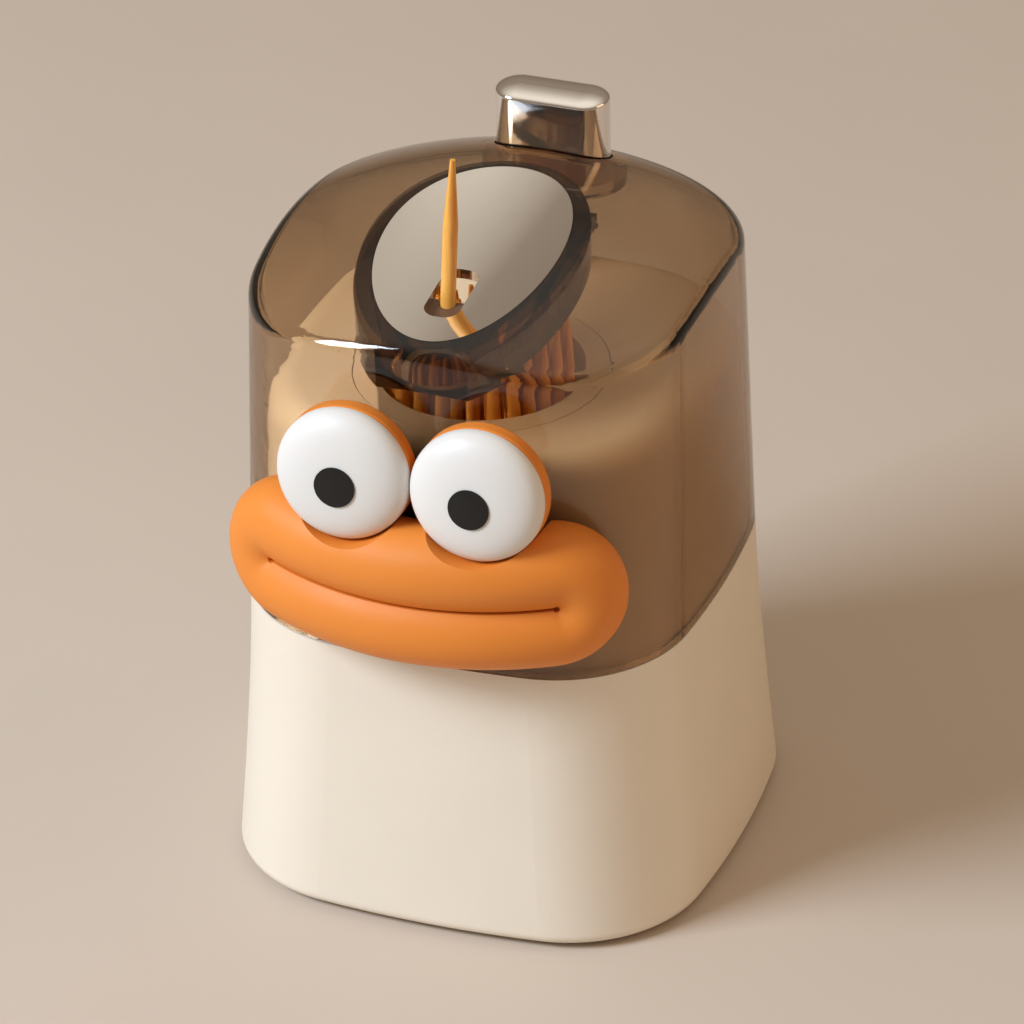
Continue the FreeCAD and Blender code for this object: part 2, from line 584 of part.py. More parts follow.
def make_stored_toothpicks():
    """Upright bundle that leaves the lifter's seat, the raised pick and the cup's rear free."""
    seed = toothpick(6)
    reach = CUP_RADIUS - PICK_RADIUS - 0.2
    row_step = PICK_PITCH * math.sqrt(3) / 2
    rows = int(reach / row_step) + 1
    picks = []
    for row in range(-rows, rows + 1):
        y = CUP_Y + row * row_step
        for column in range(-rows - 1, rows + 2):
            x = (column + (row % 2) / 2) * PICK_PITCH
            inside = math.hypot(x, y - CUP_Y) < reach
            in_seat_way = (abs(x) < SEAT_HALF + PICK_RADIUS + SEAT_CLEAR
                           and y < SEAT_REAR_Y + PICK_RADIUS + SEAT_CLEAR)
            in_free_part = y + PICK_RADIUS > CUP_Y + CUP_RADIUS - CUP_FREE
            if inside and not in_seat_way and not in_free_part:
                pick = seed.copy()
                pick.translate(Vector(x, y, CUP_FLOOR_Z))
                picks.append(pick)
    return Part.makeCompound(picks)


def make_pivot_pin():
    end = PILLAR_OUTER_X + PIN_PROUD
    return cross_bar(PIVOT_RADIUS, -end, end, PIVOT_Y, PIVOT_Z)


def make_pivot_clips():
    clips = []
    near = PILLAR_OUTER_X + CLIP_GAP
    for side in (-1, 1):
        x_low, x_high = sorted((side * near, side * (near + CLIP_THICK)))
        clip = cross_bar(PIVOT_RADIUS + CLIP_WIDER, x_low, x_high, PIVOT_Y, PIVOT_Z)
        clips.append(clip.cut(cross_bar(PIVOT_RADIUS + PRESS_FIT, x_low, x_high, PIVOT_Y, PIVOT_Z)))
    return Part.makeCompound(clips)


def make_guide_rods():
    low = BOTTOM_TOP_Z + 0.2
    high = DECK_UNDER_Z - 0.2
    return Part.makeCompound([post(GUIDE_RADIUS, side * GUIDE_X, GUIDE_Y, low, high) for side in (-1, 1)])


# ---------------------------------------------------------------- lever and lifter


def swung(shape):
    """Turns a level lever shape to its rest angle, front end down."""
    shape.rotate(Vector(0, PIVOT_Y, PIVOT_Z), Vector(1, 0, 0), math.degrees(SWING))
    return shape


def make_lift_lever():
    """Yoke: two arms past the cup, a hub on the pivot pin and a tail under the push rod."""
    hub = cross_bar(HUB_RADIUS, -ARM_OUTER_X, ARM_OUTER_X, PIVOT_Y, PIVOT_Z)
    lever = hub
    front_y = PIVOT_Y - LEVER_FRONT
    for side in (-1, 1):
        x_low, x_high = sorted((side * ARM_INNER_X, side * ARM_OUTER_X))
        arm = box(x_low, x_high, front_y, PIVOT_Y, PIVOT_Z - ARM_HEIGHT / 2, PIVOT_Z + ARM_HEIGHT / 2)
        eye = cross_bar(ARM_HEIGHT / 2, x_low, x_high, front_y, PIVOT_Z)
        lever = lever.fuse(arm).fuse(eye)
    tail_end = PIVOT_Y + LEVER_TAIL + TAIL_OVERHANG
    tail = box(-TAIL_WIDTH / 2, TAIL_WIDTH / 2, PIVOT_Y, tail_end, PIVOT_Z - TAIL_THICK / 2,
               PIVOT_Z + TAIL_THICK / 2)
    lever = lever.fuse(tail)
    lever = lever.cut(cross_bar(PIVOT_RADIUS + RUNNING_FIT, -FAR, FAR, PIVOT_Y, PIVOT_Z))
    lever = lever.cut(cross_bar(PIN_RADIUS + PRESS_FIT, -FAR, FAR, front_y, PIVOT_Z))
    return swung(lever.removeSplitter())


def make_lever_pins():
    """Pins pressed into the arms' front eyes, pointing in through the lifter's ears."""
    pins = []
    for side in (-1, 1):
        x_low, x_high = sorted((side * (EAR_INNER_X - 0.4), side * ARM_OUTER_X))
        pins.append(cross_bar(PIN_RADIUS, x_low, x_high, PIN_END_Y, PIN_REST_Z))
    return Part.makeCompound(pins)


def make_lifter():
    """Crosshead on two rods; its slotted ears take the lever's pins, its blade lifts one pick."""
    z_low = PIN_REST_Z - EAR_HEIGHT / 2
    z_high = PIN_REST_Z + EAR_HEIGHT / 2
    lifter = box(-EAR_OUTER_X, EAR_OUTER_X, CROSSHEAD_FRONT_Y, CROSSHEAD_REAR_Y, z_low, z_high)
    slot_rear = PIN_END_Y + PIN_RADIUS + SLOT_PLAY
    slot_front = PIN_MID_Y - PIN_RADIUS - SLOT_PLAY
    slot_low = PIN_REST_Z - PIN_RADIUS - SLOT_PLAY
    slot_high = PIN_REST_Z + PIN_RADIUS + SLOT_PLAY
    for side in (-1, 1):
        x_low, x_high = sorted((side * EAR_INNER_X, side * EAR_OUTER_X))
        lifter = lifter.fuse(box(x_low, x_high, CROSSHEAD_FRONT_Y, slot_rear + 1, z_low, z_high))
        lifter = lifter.cut(box(x_low - 1, x_high + 1, slot_front, slot_rear, slot_low, slot_high))
    for side in (-1, 1):
        lifter = lifter.fuse(post(GUIDE_BOSS_RADIUS, side * GUIDE_X, GUIDE_Y, z_low, z_high))
        lifter = lifter.cut(post(GUIDE_RADIUS + GUIDE_CLEAR, side * GUIDE_X, GUIDE_Y, z_low - 1, z_high + 1))
    blade_low = SEAT_TOP_Z - SEAT_THICK - BLADE_RIB
    blade = box(-BLADE_HALF, BLADE_HALF, CROSSHEAD_REAR_Y - 0.5, SEAT_REAR_Y, blade_low, SEAT_TOP_Z)
    seat = box(-SEAT_HALF, SEAT_HALF, CUP_FRONT_Y, SEAT_REAR_Y, SEAT_TOP_Z - SEAT_THICK, SEAT_TOP_Z)
    seat = seat.common(post(CUP_RADIUS - SEAT_CLEAR, 0, CUP_Y, 0, DECK_Z))
    return lifter.fuse(blade).fuse(seat).removeSplitter()


# ---------------------------------------------------------------- cover and what rides on it


def make_cover():
    """Smoky clear moulding: walls, crown, the plate's collar, the button's sleeve, spring shelf."""
    outer = domed_cover(0, COVER_BOTTOM_Z)
    cover = outer.cut(domed_cover(COVER_WALL, COVER_BOTTOM_Z - 1))
    collar_out = PLATE_CLEAR + COLLAR_WALL
    collar = ellipse_prism(PLATE_SEMI_X + collar_out, PLATE_SEMI_Y + collar_out, PLATE_Y, DECK_Z, FAR)
    collar = collar.common(outer).cut(crown_ball(COLLAR_DEPTH))
    cover = cover.fuse(collar)
    sleeve_grow = 2 * (BUTTON_CLEAR + SLEEVE_WALL)
    sleeve = rounded_prism(BUTTON_WIDTH + sleeve_grow, BUTTON_DEPTH + sleeve_grow,
                           BUTTON_CORNER + sleeve_grow / 2, BUTTON_Y, SLEEVE_BOTTOM_Z, FAR)
    cover = cover.fuse(sleeve.common(outer))
    shelf = box(-SHELF_HALF_X, SHELF_HALF_X, BUTTON_Y - SHELF_AHEAD, FAR, SHELF_TOP_Z - SHELF_THICK,
                SHELF_TOP_Z)
    cover = cover.fuse(shelf.common(outer))
    cover = cover.cut(rounded_prism(BUTTON_WIDTH + 2 * BUTTON_CLEAR, BUTTON_DEPTH + 2 * BUTTON_CLEAR,
                                    BUTTON_CORNER + BUTTON_CLEAR, BUTTON_Y, SLEEVE_BOTTOM_Z - 1, FAR))
    cover = cover.cut(post(ROD_RADIUS + ROD_CLEAR, 0, BUTTON_Y, SHELF_TOP_Z - SHELF_THICK - 1,
                           SHELF_TOP_Z + 1))
    pocket = ellipse_prism(PLATE_SEMI_X + PLATE_CLEAR, PLATE_SEMI_Y + PLATE_CLEAR, PLATE_Y, DECK_Z, FAR)
    cover = cover.cut(pocket.common(plate_slab(PLATE_THICK - CROWN_OVER_DECK, CROWN_OVER_DECK)))
    mouth = ellipse_prism(PLATE_SEMI_X - PLATE_LEDGE, PLATE_SEMI_Y - PLATE_LEDGE, PLATE_Y, DECK_Z, FAR)
    return cover.cut(mouth).removeSplitter()


def make_outlet_plate():
    outline = ellipse_prism(PLATE_SEMI_X, PLATE_SEMI_Y, PLATE_Y, DECK_Z, FAR)
    return outline.common(plate_slab(0, PLATE_THICK)).cut(slot_prism())


def raised_pick_point(z):
    """Where the raised pick's axis is at a height."""
    shift = math.tan(math.radians(RAISED_PICK_LEAN)) * (z - RAISED_PICK_CROSS_Z)
    return Vector(RAISED_PICK_X + shift, RAISED_PICK_Y, z)


def raised_pick_place():
    lean = Rotation(Vector(0, 1, 0), RAISED_PICK_LEAN)
    return Placement(raised_pick_point(RAISED_PICK_FOOT_Z), lean)


def make_pick_grip():
    """Soft fork under the plate's slot, whose jaws reach round behind the raised pick."""
    slab = plate_slab(PLATE_THICK, GRIP_THICK)
    rear = RAISED_PICK_Y + GRIP_JAW
    front = SLOT_Y - SLOT_LENGTH / 2 - GRIP_WIDER
    block = rounded_prism(SLOT_WIDTH + 2 * GRIP_WIDER, rear - front, GRIP_WIDER, (rear + front) / 2, DECK_Z,
                          CROWN_TOP)
    hole = Part.makeCylinder(PICK_RADIUS + GRIP_CLEAR, PICK_LENGTH)
    hole.Placement = raised_pick_place()
    return block.common(slab).cut(hole)


def make_raised_toothpick():
    pick = toothpick(0)
    pick.Placement = raised_pick_place()
    return pick


def make_button_cap():
    """Hollow chrome cap whose top rises from the rim like a pillow."""
    skirt = rounded_prism(BUTTON_WIDTH, BUTTON_DEPTH, BUTTON_CORNER, BUTTON_Y, BUTTON_BOTTOM_Z, BUTTON_RIM_Z)
    rings = []
    for share in (0, 0.03, 0.1, 0.22, 0.4, 0.6, 0.85):
        inset = share * BUTTON_DEPTH / 2
        rise = BUTTON_DOME * math.sqrt(1 - (1 - share) ** 2)
        rings.append(rounded_wire(BUTTON_WIDTH - 2 * inset, BUTTON_DEPTH - 2 * inset, BUTTON_CORNER - inset,
                                  BUTTON_Y, BUTTON_RIM_Z + rise))
    pillow = Part.makeLoft(rings, True, False)
    hollow = rounded_prism(BUTTON_WIDTH - 2 * BUTTON_WALL, BUTTON_DEPTH - 2 * BUTTON_WALL,
                           BUTTON_CORNER - BUTTON_WALL, BUTTON_Y, BUTTON_BOTTOM_Z - 1,
                           BUTTON_RIM_Z - BUTTON_WALL)
    return skirt.fuse(pillow).cut(hollow).removeSplitter()


def make_push_rod():
    """Slim rod from the cap's roof to just over the lever's tail, round at its tip."""
    top = BUTTON_RIM_Z - BUTTON_WALL
    rod = post(ROD_RADIUS, 0, BUTTON_Y, ROD_TIP_Z + ROD_RADIUS, top)
    rod = rod.fuse(post(ROD_RADIUS + ROD_HEAD_WIDER, 0, BUTTON_Y, top - ROD_HEAD_THICK, top))
    return rod.fuse(Part.makeSphere(ROD_RADIUS, Vector(0, BUTTON_Y, ROD_TIP_Z + ROD_RADIUS))).removeSplitter()


def make_rod_clip():
    top = SHELF_TOP_Z - SHELF_THICK - CLIP_GAP
    return ring(ROD_RADIUS + CLIP_WIDER, ROD_RADIUS + PRESS_FIT, 0, BUTTON_Y, top - CLIP_THICK, top)


def make_return_spring():
    """Compression spring round the rod, between the shelf and the rod's collar in the cap."""
    low = SHELF_TOP_Z + SPRING_WIRE + 0.02
    high = BUTTON_RIM_Z - BUTTON_WALL - ROD_HEAD_THICK - SPRING_WIRE - 0.02
    coil = Part.makeHelix((high - low) / SPRING_TURNS, high - low, SPRING_RADIUS)
    wire = Part.makePolygon([Vector(SPRING_RADIUS + SPRING_WIRE * math.cos(math.pi * i / 3), 0,
                                    SPRING_WIRE * math.sin(math.pi * i / 3)) for i in range(7)])
    spring = Part.Wire(coil.Edges).makePipeShell([wire], True, True)
    spring.translate(Vector(0, BUTTON_Y, low))
    return spring


# ---------------------------------------------------------------- face


def eye_place(side):
    """Frame of an eye: its own +Z points out of the face."""
    turn = Rotation(Vector(1, 0, 0), 90 - EYE_TILT)
    return Placement(Vector(FACE_X + side * EYE_APART / 2, EYE_RIM_Y, EYE_Z), turn)


def eye_pillow(grow=0.0):
    """The white's form in the eye's own frame: flat behind, and rounded over to its rim."""
    points = []
    for i in range(9):
        turn = math.pi / 2 * i / 8
        radius = (EYE_RADIUS + grow) * math.sin(turn) ** (2 / EYE_ROUNDNESS)
        height = (EYE_BULGE + grow) * max(0.0, math.cos(turn)) ** (2 / EYE_ROUNDNESS)
        points.append(Vector(radius, 0, height if i < 8 else 0))
    section = Part.BSplineCurve()
    section.interpolate(Points=points, InitialTangent=Vector(1, 0, 0), FinalTangent=Vector(0, 0, -1))
    rim, crest = points[-1], points[0]
    outline = Part.Wire([section.toShape(), Part.LineSegment(rim, Vector(0, 0, 0)).toShape(),
                         Part.LineSegment(Vector(0, 0, 0), crest).toShape()])
    return Part.Face(outline).revolve(Vector(0, 0, 0), Vector(0, 0, 1), 360)


def make_eye_white(side):
    white = eye_pillow()
    white.Placement = eye_place(side)
    return white


def make_pupil(side):
    """Thin disc on the white, bulging gently."""
    top = EYE_BULGE + PUPIL_THICK
    pupil = Part.makeCylinder(PUPIL_RADIUS, top + 1, Vector(0, -PUPIL_DROP, 0))
    front = Part.makeSphere(PUPIL_RADIUS_FRONT, Vector(0, -PUPIL_DROP, top - PUPIL_RADIUS_FRONT),
                            Vector(1, 0, 0))
    pupil = pupil.common(front).cut(eye_pillow(GLUE_LINE / 2))
    pupil.Placement = eye_place(side)
    return pupil


def face_block(outset):
    """Solid that stands off the cover's walls by the given distance, for backing the face on."""
    return cover_block(outset, COVER_BOTTOM_Z, CROWN_TOP)


def make_eye_back(side):
    """Coloured disc behind the white, on a stub that the tape fastens to the cover."""
    disc = Part.makeCylinder(EYE_RADIUS, EYE_BACK_THICK, Vector(0, 0, -EYE_BACK_THICK - GLUE_LINE))
    disc = disc.makeFillet(EYE_BACK_EDGE, [e for e in disc.Edges if e.BoundBox.ZLength < 0.1])
    stub_length = 2 * EYE_STANDOFF
    stub = Part.makeCylinder(EYE_STUB_RADIUS, stub_length, Vector(0, 0, -stub_length - EYE_BACK_THICK / 2))
    back = disc.fuse(stub)
    back.Placement = eye_place(side)
    back = back.cut(face_block(TAPE_THICK + 2 * GLUE_LINE))
    return max(back.Solids, key=lambda s: s.Volume)


def make_eye_tape(side):
    reach = 2 * EYE_STANDOFF + EYE_BACK_THICK
    tape = Part.makeCylinder(EYE_STUB_RADIUS - TAPE_THICK, reach, Vector(0, 0, -reach))
    tape.Placement = eye_place(side)
    tape = tape.common(face_block(TAPE_THICK + GLUE_LINE)).cut(face_block(GLUE_LINE))
    return min(tape.Solids, key=lambda s: s.BoundBox.YMin)


def lip_axis():
    """A point and the direction of the axis that both lips bend round, tipped for the smile."""
    tilt = math.radians(LIP_SMILE)
    ahead = Vector(0, -math.cos(tilt), -math.sin(tilt))
    return Vector(LIP_X, LIP_Y, LIP_Z) - ahead * LIP_BEND, Vector(0, -math.sin(tilt), math.cos(tilt))


def section_box(y_low, y_high, z_low, z_high):
    """Upright rectangle across the lips' middle."""
    corners = [Vector(LIP_X, y, z) for y, z in ((y_low, z_low), (y_high, z_low), (y_high, z_high),
                                                (y_low, z_high), (y_low, z_low))]
    return Part.Face(Part.makePolygon(corners))


def half_tube(up):
    """The upper (1) or lower (-1) lip's section in the middle, cut off level along the mouth."""
    middle = Vector(LIP_X, LIP_Y, LIP_Z + up * LIP_SPACING / 2)
    tube = Part.Face(Part.Wire(Part.makeCircle(LIP_TUBE, middle, Vector(1, 0, 0))))
    z_low, z_high = sorted((LIP_Z, LIP_Z + up * (LIP_SPACING + LIP_TUBE)))
    return tube.common(section_box(LIP_Y - 2 * LIP_TUBE, LIP_Y + 2 * LIP_TUBE, z_low, z_high))


def mouth_slit():
    """Thin gap along the mouth, from the crease to the middle of the lips, with a round end."""
    centre, axis = lip_axis()
    front = LIP_Y - LIP_TUBE
    slit = section_box(front, LIP_Y, LIP_Z - LIP_PART / 2, LIP_Z + LIP_PART / 2)
    slit.rotate(centre, axis, -LIP_HALF_ANGLE)
    slit = slit.revolve(centre, axis, 2 * LIP_HALF_ANGLE)
    for side in (-1, 1):
        end = Part.makeCylinder(LIP_PART, LIP_TUBE, Vector(LIP_X, front, LIP_Z), Vector(0, 1, 0))
        end.rotate(centre, axis, side * LIP_HALF_ANGLE)
        slit = slit.fuse(end)
    return slit


def make_lips():
    """Closed ring of soft tube: two bent lips that meet at the mouth, joined by rounded ends."""
    centre, axis = lip_axis()
    pieces = []
    for up in (1, -1):
        section = half_tube(up)
        section.rotate(centre, axis, -LIP_HALF_ANGLE)
        pieces.append(section.revolve(centre, axis, 2 * LIP_HALF_ANGLE))
    for side in (-1, 1):
        end = half_tube(1).revolve(Vector(LIP_X, LIP_Y, LIP_Z), Vector(0, -1, 0), -side * 180)
        end.rotate(centre, axis, side * LIP_HALF_ANGLE)
        pieces.append(end)
    lips = pieces[0].fuse(pieces[1:]).removeSplitter()
    lips = lips.cut(face_block(TAPE_THICK + 2 * GLUE_LINE)).cut(mouth_slit())
    for side in (-1, 1):
        notch = Part.makeCylinder(EYE_RADIUS + EYE_LIP_GAP, 4 * LIP_TUBE, Vector(0, 0, -2 * LIP_TUBE))
        notch.Placement = eye_place(side)
        lips = lips.cut(notch)
    return max(lips.Solids, key=lambda s: s.Volume)


def make_lips_tape():
    """Two strips behind the lips."""
    layer = face_block(TAPE_THICK + GLUE_LINE).cut(face_block(GLUE_LINE))
    reach = LIP_BEND * math.sin(math.radians(LIP_HALF_ANGLE))
    strips = []
    for rise in (-LIP_SPACING / 2, LIP_SPACING / 2):
        strip = box(LIP_X - reach, LIP_X + reach, -FAR, 0, LIP_Z + rise - LIP_TAPE_HALF,
                    LIP_Z + rise + LIP_TAPE_HALF)
        strips.append(strip.common(layer))
    return Part.makeCompound(strips)


# ---------------------------------------------------------------- export

NODES = {
    "anti_slip_pad": make_anti_slip_pad,
    "bottom_plate": make_bottom_plate,
    "bottom_screws": make_bottom_screws,
    "base_shell": make_base_shell,
    "inner_container": make_inner_container,
    "container_screws": make_container_screws,
    "toothpick_cup": make_toothpick_cup,
    "stored_toothpicks": make_stored_toothpicks,
    "pivot_pin": make_pivot_pin,
    "pivot_clips": make_pivot_clips,
    "guide_rods": make_guide_rods,
    "lift_lever": make_lift_lever,
    "lever_pins": make_lever_pins,
    "lifter": make_lifter,
    "cover": make_cover,
    "outlet_plate": make_outlet_plate,
    "pick_grip": make_pick_grip,
    "raised_toothpick": make_raised_toothpick,
    "button_cap": make_button_cap,
    "push_rod": make_push_rod,
    "rod_clip": make_rod_clip,
    "return_spring": make_return_spring,
    "lips": make_lips,
    "lips_tape": make_lips_tape,
}
SIDES = {"left": -1, "right": 1}
EYE_NODES = {"eye_back": make_eye_back, "eye_tape": make_eye_tape, "eye_white": make_eye_white,
             "pupil": make_pupil}

os.makedirs("parts", exist_ok=True)
for name, make in NODES.items():
    make().exportStep("parts/" + name + ".step")
for name, make in EYE_NODES.items():
    for side_name, side in SIDES.items():
        make(side).exportStep("parts/" + name + "_" + side_name + ".step")
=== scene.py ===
"""Studio scene round the toothpick dispenser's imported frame: camera, lights, materials, toothpicks.

Metres, in the frame's own axes: +Z up, the face looks along -Y, the origin is under the middle.
"""
import math
import random

import bmesh
import bpy
from mathutils import Matrix, Vector


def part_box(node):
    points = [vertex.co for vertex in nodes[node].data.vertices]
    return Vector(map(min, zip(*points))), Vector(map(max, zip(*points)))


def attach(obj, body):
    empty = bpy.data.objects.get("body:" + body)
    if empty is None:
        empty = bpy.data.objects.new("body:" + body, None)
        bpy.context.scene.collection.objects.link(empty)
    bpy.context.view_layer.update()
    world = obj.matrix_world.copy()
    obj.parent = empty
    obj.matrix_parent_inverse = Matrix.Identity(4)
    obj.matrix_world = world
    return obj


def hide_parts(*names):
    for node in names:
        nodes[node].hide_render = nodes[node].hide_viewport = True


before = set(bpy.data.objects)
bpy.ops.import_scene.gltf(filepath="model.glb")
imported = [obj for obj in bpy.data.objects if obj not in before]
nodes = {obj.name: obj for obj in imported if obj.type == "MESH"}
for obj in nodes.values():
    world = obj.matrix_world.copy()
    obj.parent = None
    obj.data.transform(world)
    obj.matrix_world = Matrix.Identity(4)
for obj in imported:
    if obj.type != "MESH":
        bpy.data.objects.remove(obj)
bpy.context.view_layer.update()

MM = 0.001

# ---------------------------------------------------------------- camera

CAMERA_AZIMUTH = math.radians(20.45)
CAMERA_ELEVATION = math.radians(31.35)
CAMERA_ROLL = math.radians(-1.38)
CAMERA_DISTANCE = 0.9627
CAMERA_TARGET = Vector((0, 0, 0.04762))
CAMERA_SIDE_STEP = 0.00111    # the camera stands this far off its line through the target, unturned
CAMERA_UP_STEP = 0.00005
CAMERA_CLIP_START = 0.01
SENSOR_WIDTH = 36.0
FOCAL_PIXELS = 6976.7
IMAGE_WIDTH = 1024


def add_camera():
    a, e, roll = CAMERA_AZIMUTH, CAMERA_ELEVATION, CAMERA_ROLL
    right = Vector((math.cos(a), math.sin(a), 0))
    ahead = Vector((-math.sin(a) * math.cos(e), math.cos(a) * math.cos(e), -math.sin(e)))
    up = right.cross(ahead)
    rolled_right = right * math.cos(roll) + up * math.sin(roll)
    rolled_up = up * math.cos(roll) - right * math.sin(roll)
    place = (CAMERA_TARGET - ahead * CAMERA_DISTANCE + rolled_right * CAMERA_SIDE_STEP
             + rolled_up * CAMERA_UP_STEP)
    data = bpy.data.cameras.new("camera")
    data.sensor_width = SENSOR_WIDTH
    data.lens = FOCAL_PIXELS / IMAGE_WIDTH * SENSOR_WIDTH
    data.clip_start = CAMERA_CLIP_START
    camera = bpy.data.objects.new("camera", data)
    turn = Matrix((rolled_right, rolled_up, -ahead)).transposed()
    camera.matrix_world = Matrix.Translation(place) @ turn.to_4x4()
    bpy.context.scene.collection.objects.link(camera)
    bpy.context.scene.camera = camera


# ---------------------------------------------------------------- node helpers


def colour_ramp(tree, value, stops):
    """Colours a value by stops of (place, colour) and gives the colour's output."""
    node = tree.nodes.new("ShaderNodeValToRGB")
    band = node.color_ramp
    while len(band.elements) < len(stops):
        band.elements.new(0.5)
    for element, (place, _) in zip(band.elements, stops):
        element.position = place
    for element, (_, colour) in zip(band.elements, stops):
        element.color = (*colour, 1)
    tree.links.new(value, node.inputs["Fac"])
    return node.outputs["Color"]


class Shader:
    """A material's node tree with short calls to fill it."""

    def __init__(self, name):
        self.material = bpy.data.materials.new(name)
        self.material.use_nodes = True
        self.tree = self.material.node_tree
        self.bsdf = self.tree.nodes["Principled BSDF"]
        self.coords = self.tree.nodes.new("ShaderNodeTexCoord").outputs["Object"]

    def set(self, **values):
        for name, value in values.items():
            self.bsdf.inputs[name.replace("_", " ")].default_value = value

    def link(self, output, socket):
        self.tree.links.new(output, socket)

    def stretched(self, scale):
        """The coordinates times a scale per axis: below 1 draws a noise out along that axis."""
        mapping = self.tree.nodes.new("ShaderNodeMapping")
        mapping.inputs["Scale"].default_value = scale
        self.link(self.coords, mapping.inputs["Vector"])
        return mapping.outputs["Vector"]

    def noise(self, scale, detail, roughness=0.5, distortion=0.0, vector=None):
        node = self.tree.nodes.new("ShaderNodeTexNoise")
        node.inputs["Scale"].default_value = scale
        node.inputs["Detail"].default_value = detail
        node.inputs["Roughness"].default_value = roughness
        node.inputs["Distortion"].default_value = distortion
        self.link(vector or self.coords, node.inputs["Vector"])
        return node.outputs["Fac"]

    def span(self, value, low, high, from_low=0.3, from_high=0.7):
        """Maps a value, a noise's middle part unless told otherwise, onto low to high."""
        node = self.tree.nodes.new("ShaderNodeMapRange")
        node.inputs["From Min"].default_value = from_low
        node.inputs["From Max"].default_value = from_high
        node.inputs["To Min"].default_value = low
        node.inputs["To Max"].default_value = high
        self.link(value, node.inputs["Value"])
        return node.outputs["Result"]

    def colour_by(self, value, *stops):
        self.link(colour_ramp(self.tree, value, stops), self.bsdf.inputs["Base Color"])

    def roughen(self, value, low, high):
        self.link(self.span(value, low, high), self.bsdf.inputs["Roughness"])

    def bump(self, height, strength, depth):
        node = self.tree.nodes.new("ShaderNodeBump")
        node.inputs["Strength"].default_value = strength
        node.inputs["Distance"].default_value = depth
        self.link(height, node.inputs["Height"])
        self.link(node.outputs["Normal"], self.bsdf.inputs["Normal"])


def shaded(colour, amount):
    return tuple(channel * amount for channel in colour)


# ---------------------------------------------------------------- materials

CREAM = (0.85, 0.76, 0.63)
ORANGE = (0.80, 0.25, 0.035)
WHITE = (0.78, 0.75, 0.71)
BLACK = (0.006, 0.0055, 0.005)
NATURAL = (0.80, 0.79, 0.75)
CHROME = (0.83, 0.81, 0.79)
STEEL = (0.60, 0.59, 0.57)
RUBBER = (0.05, 0.048, 0.045)
# painted shade: the grip's colour is darkened for the shade inside the outlet slot where it sits
SILICONE_AND_SLOT_SHADE = (0.15, 0.08, 0.045)
FOAM = (0.75, 0.72, 0.66)
BIRCH_LIGHT = (0.88, 0.42, 0.075)
BIRCH_DARK = (0.70, 0.27, 0.04)
FLOOR = (0.62, 0.52, 0.43)

SMOKE_TINT = (0.588, 0.376, 0.089)
SMOKE_DENSITY = 400.0         # with the tint: a 2 mm wall lets through 0.72, 0.61, 0.48
CLEAR = (1, 1, 1)
# painted shade: the clear collar's colour is made dark here for the dark surroundings mirrored inside its
# thick walls; the dye in the volume darkens it for real as well
COLLAR_PAINTED_SHADE = (0.15, 0.135, 0.12)
COLLAR_SEMI_X = 14.75 * MM    # outside of the collar round the outlet plate
COLLAR_SEMI_Y = 21.95 * MM
COLLAR_EDGE = 0.99            # from here to 1, of the semi-axes, the painted shade fades out

# How fine each noise is, in waves per metre, and how deep its bumps go.
PLASTIC_MOTTLE = 60
PLASTIC_PATCHES = 140
PLASTIC_GRAIN = 2600
PLASTIC_GRAIN_DEPTH = 0.03 * MM
CLEAR_PATCHES = 90
CLEAR_WAVES = 55
CLEAR_WAVE_DEPTH = 0.2 * MM
METAL_PATCHES = 170
METAL_POLISH = 1500
METAL_POLISH_DEPTH = 0.02 * MM
STEEL_STREAKS = 400
STEEL_STRETCH = (1, 1, 0.05)
WOOD_FIBRES = 1400
WOOD_STRETCH = (1, 1, 0.03)
WOOD_FIBRE_DEPTH = 0.06 * MM
SHEET_MOTTLE = 500
SHEET_GRAIN = 2200
SHEET_GRAIN_DEPTH = 0.05 * MM
TABLE_CLOUDS = 14
TABLE_GRAIN = 500
TABLE_GRAIN_DEPTH = 0.1 * MM


def moulded_plastic(name, colour, roughness, grain=0.12, soft=0.0, shine=0.5):
    """Opaque plastic: faint mottle in the colour, uneven gloss and a fine moulded grain."""
    s = Shader(name)
    s.colour_by(s.noise(PLASTIC_MOTTLE, detail=2), (0.3, shaded(colour, 0.97)), (0.7, colour))
    s.roughen(s.noise(PLASTIC_PATCHES, detail=4), low=roughness * 0.9, high=roughness * 1.12)
    s.set(Subsurface_Weight=soft, Subsurface_Scale=0.002, Specular_IOR_Level=shine)
    s.bump(s.noise(PLASTIC_GRAIN, detail=3), strength=grain, depth=PLASTIC_GRAIN_DEPTH)
    return s.material


def inside_collar(s):
    """1 within the oval collar round the outlet plate, 0 outside it."""
    plate_low, plate_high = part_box("outlet_plate")
    middle = (plate_low + plate_high) / 2
    move = s.tree.nodes.new("ShaderNodeMapping")
    move.vector_type = "TEXTURE"
    move.inputs["Location"].default_value = (middle.x, middle.y, 0)
    move.inputs["Scale"].default_value = (COLLAR_SEMI_X, COLLAR_SEMI_Y, 1)
    s.link(s.coords, move.inputs["Vector"])
    flat = s.tree.nodes.new("ShaderNodeVectorMath")
    flat.operation = "MULTIPLY"
    flat.inputs[1].default_value = (1, 1, 0)
    s.link(move.outputs["Vector"], flat.inputs[0])
    reach = s.tree.nodes.new("ShaderNodeVectorMath")
    reach.operation = "LENGTH"
    s.link(flat.outputs["Vector"], reach.inputs[0])
    return s.span(reach.outputs["Value"], 1, 0, COLLAR_EDGE, 1.0)


def dye_through(s, tint, density):
    """Absorbs light on its way through the plastic."""
    dye = s.tree.nodes.new("ShaderNodeVolumeAbsorption")
    dye.inputs["Color"].default_value = (*tint, 1)
    dye.inputs["Density"].default_value = density
    s.link(dye.outputs["Volume"], s.tree.nodes["Material Output"].inputs["Volume"])


